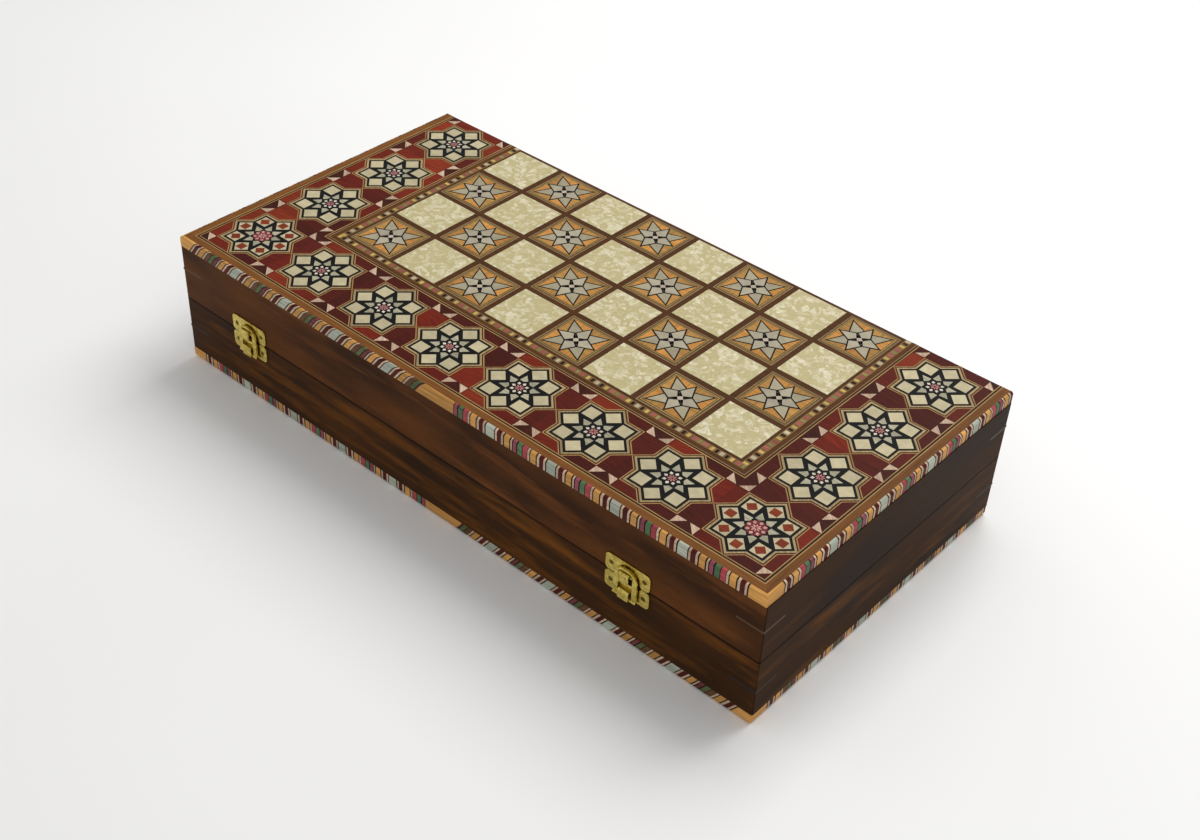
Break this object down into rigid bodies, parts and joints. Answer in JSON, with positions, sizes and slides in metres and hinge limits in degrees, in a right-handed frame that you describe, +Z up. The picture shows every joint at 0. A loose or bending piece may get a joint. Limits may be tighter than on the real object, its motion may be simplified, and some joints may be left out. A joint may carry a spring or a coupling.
{
  "type": "folding backgammon set",
  "caption": "Closed folding wooden backgammon case with marquetry chess faces, brass hinges and swing catches, holding turned playing pieces and dice.",
  "frame": {"origin": "centre of the underside, where the closed case rests", "axes": "+X along the case towards its right end, +Y towards the hinges, +Z up"},
  "size_m": [0.5, 0.2576, 0.1],
  "materials": {
    "walnut_frame": "dark walnut, satin lacquer",
    "plywood_board": "stained plywood edge, satin lacquer",
    "chess_marquetry": "marquetry of stained woods and pale celluloid, gloss lacquer",
    "point_marquetry": "marquetry of stained woods, gloss lacquer",
    "edge_banding": "striped block banding, gloss lacquer",
    "key_wood": "dark hardwood, satin lacquer",
    "brass": "stamped brass, slightly tarnished",
    "screw_steel": "brass-plated steel, dulled",
    "pin_steel": "drawn steel",
    "boxwood_piece": "turned boxwood, lacquered",
    "walnut_piece": "turned dark hardwood, lacquered",
    "dice_plastic": "polished ivory-coloured resin"
  },
  "bodies": {
    "lower_case": {"catch_base_plates": "brass", "hinge_pins": "pin_steel", "lower_back_wall": "walnut_frame", "lower_base_board": "plywood_board", "lower_chess_veneer": "chess_marquetry", "lower_corner_keys": "key_wood", "lower_edge_banding": "edge_banding", "lower_front_wall": "walnut_frame", "lower_hinge_leaves": "brass", "lower_left_wall": "walnut_frame", "lower_point_field": "point_marquetry", "lower_right_wall": "walnut_frame", "lower_screws": "screw_steel"},
    "upper_case": {"catch_keepers": "brass", "upper_back_wall": "walnut_frame", "upper_base_board": "plywood_board", "upper_chess_veneer": "chess_marquetry", "upper_corner_keys": "key_wood", "upper_edge_banding": "edge_banding", "upper_front_wall": "walnut_frame", "upper_hinge_leaves": "brass", "upper_left_wall": "walnut_frame", "upper_point_field": "point_marquetry", "upper_right_wall": "walnut_frame", "upper_screws": "screw_steel"},
    "left_catch": {"left_catch_lever": "brass"},
    "right_catch": {"right_catch_lever": "brass"},
    "die_one": {"die_one": "dice_plastic"},
    "die_two": {"die_two": "dice_plastic"},
    "dark_piece_01": {"dark_piece_01": "walnut_piece"},
    "dark_piece_02": {"dark_piece_02": "walnut_piece"},
    "dark_piece_03": {"dark_piece_03": "walnut_piece"},
    "dark_piece_04": {"dark_piece_04": "walnut_piece"},
    "dark_piece_05": {"dark_piece_05": "walnut_piece"},
    "dark_piece_06": {"dark_piece_06": "walnut_piece"},
    "dark_piece_07": {"dark_piece_07": "walnut_piece"},
    "dark_piece_08": {"dark_piece_08": "walnut_piece"},
    "dark_piece_09": {"dark_piece_09": "walnut_piece"},
    "dark_piece_10": {"dark_piece_10": "walnut_piece"},
    "dark_piece_11": {"dark_piece_11": "walnut_piece"},
    "dark_piece_12": {"dark_piece_12": "walnut_piece"},
    "dark_piece_13": {"dark_piece_13": "walnut_piece"},
    "dark_piece_14": {"dark_piece_14": "walnut_piece"},
    "dark_piece_15": {"dark_piece_15": "walnut_piece"},
    "light_piece_01": {"light_piece_01": "boxwood_piece"},
    "light_piece_02": {"light_piece_02": "boxwood_piece"},
    "light_piece_03": {"light_piece_03": "boxwood_piece"},
    "light_piece_04": {"light_piece_04": "boxwood_piece"},
    "light_piece_05": {"light_piece_05": "boxwood_piece"},
    "light_piece_06": {"light_piece_06": "boxwood_piece"},
    "light_piece_07": {"light_piece_07": "boxwood_piece"},
    "light_piece_08": {"light_piece_08": "boxwood_piece"},
    "light_piece_09": {"light_piece_09": "boxwood_piece"},
    "light_piece_10": {"light_piece_10": "boxwood_piece"},
    "light_piece_11": {"light_piece_11": "boxwood_piece"},
    "light_piece_12": {"light_piece_12": "boxwood_piece"},
    "light_piece_13": {"light_piece_13": "boxwood_piece"},
    "light_piece_14": {"light_piece_14": "boxwood_piece"},
    "light_piece_15": {"light_piece_15": "boxwood_piece"}
  },
  "joints": [
    {"name": "case_opening", "type": "hinge", "parent": "lower_case", "child": "upper_case", "pos_m": [0, 0.12525, 0.05], "axis": [-1, 0, 0], "range_deg": [0, 180]},
    {"name": "catch_left_swing", "type": "hinge", "parent": "lower_case", "child": "left_catch", "pos_m": [-0.1814, -0.1276, 0.0382], "axis": [1, 0, 0], "range_deg": [0, 165]},
    {"name": "catch_right_swing", "type": "hinge", "parent": "lower_case", "child": "right_catch", "pos_m": [0.1554, -0.1276, 0.0382], "axis": [1, 0, 0], "range_deg": [0, 165]},
    {"name": "die_one_lift", "type": "slide", "parent": "lower_case", "child": "die_one", "axis": [0, 0, 1], "range_m": [0, 0.05]},
    {"name": "die_two_lift", "type": "slide", "parent": "lower_case", "child": "die_two", "axis": [0, 0, 1], "range_m": [0, 0.05]},
    {"name": "piece_dark_01_lift", "type": "slide", "parent": "lower_case", "child": "dark_piece_01", "axis": [0, 0, 1], "range_m": [0, 0.05]},
    {"name": "piece_dark_02_lift", "type": "slide", "parent": "lower_case", "child": "dark_piece_02", "axis": [0, 0, 1], "range_m": [0, 0.05]},
    {"name": "piece_dark_03_lift", "type": "slide", "parent": "lower_case", "child": "dark_piece_03", "axis": [0, 0, 1], "range_m": [0, 0.05]},
    {"name": "piece_dark_04_lift", "type": "slide", "parent": "lower_case", "child": "dark_piece_04", "axis": [0, 0, 1], "range_m": [0, 0.05]},
    {"name": "piece_dark_05_lift", "type": "slide", "parent": "lower_case", "child": "dark_piece_05", "axis": [0, 0, 1], "range_m": [0, 0.05]},
    {"name": "piece_dark_06_lift", "type": "slide", "parent": "lower_case", "child": "dark_piece_06", "axis": [0, 0, 1], "range_m": [0, 0.05]},
    {"name": "piece_dark_07_lift", "type": "slide", "parent": "lower_case", "child": "dark_piece_07", "axis": [0, 0, 1], "range_m": [0, 0.05]},
    {"name": "piece_dark_08_lift", "type": "slide", "parent": "lower_case", "child": "dark_piece_08", "axis": [0, 0, 1], "range_m": [0, 0.05]},
    {"name": "piece_dark_09_lift", "type": "slide", "parent": "lower_case", "child": "dark_piece_09", "axis": [0, 0, 1], "range_m": [0, 0.05]},
    {"name": "piece_dark_10_lift", "type": "slide", "parent": "lower_case", "child": "dark_piece_10", "axis": [0, 0, 1], "range_m": [0, 0.05]},
    {"name": "piece_dark_11_lift", "type": "slide", "parent": "lower_case", "child": "dark_piece_11", "axis": [0, 0, 1], "range_m": [0, 0.05]},
    {"name": "piece_dark_12_lift", "type": "slide", "parent": "lower_case", "child": "dark_piece_12", "axis": [0, 0, 1], "range_m": [0, 0.05]},
    {"name": "piece_dark_13_lift", "type": "slide", "parent": "lower_case", "child": "dark_piece_13", "axis": [0, 0, 1], "range_m": [0, 0.05]},
    {"name": "piece_dark_14_lift", "type": "slide", "parent": "lower_case", "child": "dark_piece_14", "axis": [0, 0, 1], "range_m": [0, 0.05]},
    {"name": "piece_dark_15_lift", "type": "slide", "parent": "lower_case", "child": "dark_piece_15", "axis": [0, 0, 1], "range_m": [0, 0.05]},
    {"name": "piece_light_01_lift", "type": "slide", "parent": "lower_case", "child": "light_piece_01", "axis": [0, 0, 1], "range_m": [0, 0.05]},
    {"name": "piece_light_02_lift", "type": "slide", "parent": "lower_case", "child": "light_piece_02", "axis": [0, 0, 1], "range_m": [0, 0.05]},
    {"name": "piece_light_03_lift", "type": "slide", "parent": "lower_case", "child": "light_piece_03", "axis": [0, 0, 1], "range_m": [0, 0.05]},
    {"name": "piece_light_04_lift", "type": "slide", "parent": "lower_case", "child": "light_piece_04", "axis": [0, 0, 1], "range_m": [0, 0.05]},
    {"name": "piece_light_05_lift", "type": "slide", "parent": "lower_case", "child": "light_piece_05", "axis": [0, 0, 1], "range_m": [0, 0.05]},
    {"name": "piece_light_06_lift", "type": "slide", "parent": "lower_case", "child": "light_piece_06", "axis": [0, 0, 1], "range_m": [0, 0.05]},
    {"name": "piece_light_07_lift", "type": "slide", "parent": "lower_case", "child": "light_piece_07", "axis": [0, 0, 1], "range_m": [0, 0.05]},
    {"name": "piece_light_08_lift", "type": "slide", "parent": "lower_case", "child": "light_piece_08", "axis": [0, 0, 1], "range_m": [0, 0.05]},
    {"name": "piece_light_09_lift", "type": "slide", "parent": "lower_case", "child": "light_piece_09", "axis": [0, 0, 1], "range_m": [0, 0.05]},
    {"name": "piece_light_10_lift", "type": "slide", "parent": "lower_case", "child": "light_piece_10", "axis": [0, 0, 1], "range_m": [0, 0.05]},
    {"name": "piece_light_11_lift", "type": "slide", "parent": "lower_case", "child": "light_piece_11", "axis": [0, 0, 1], "range_m": [0, 0.05]},
    {"name": "piece_light_12_lift", "type": "slide", "parent": "lower_case", "child": "light_piece_12", "axis": [0, 0, 1], "range_m": [0, 0.05]},
    {"name": "piece_light_13_lift", "type": "slide", "parent": "lower_case", "child": "light_piece_13", "axis": [0, 0, 1], "range_m": [0, 0.05]},
    {"name": "piece_light_14_lift", "type": "slide", "parent": "lower_case", "child": "light_piece_14", "axis": [0, 0, 1], "range_m": [0, 0.05]},
    {"name": "piece_light_15_lift", "type": "slide", "parent": "lower_case", "child": "light_piece_15", "axis": [0, 0, 1], "range_m": [0, 0.05]}
  ]
}
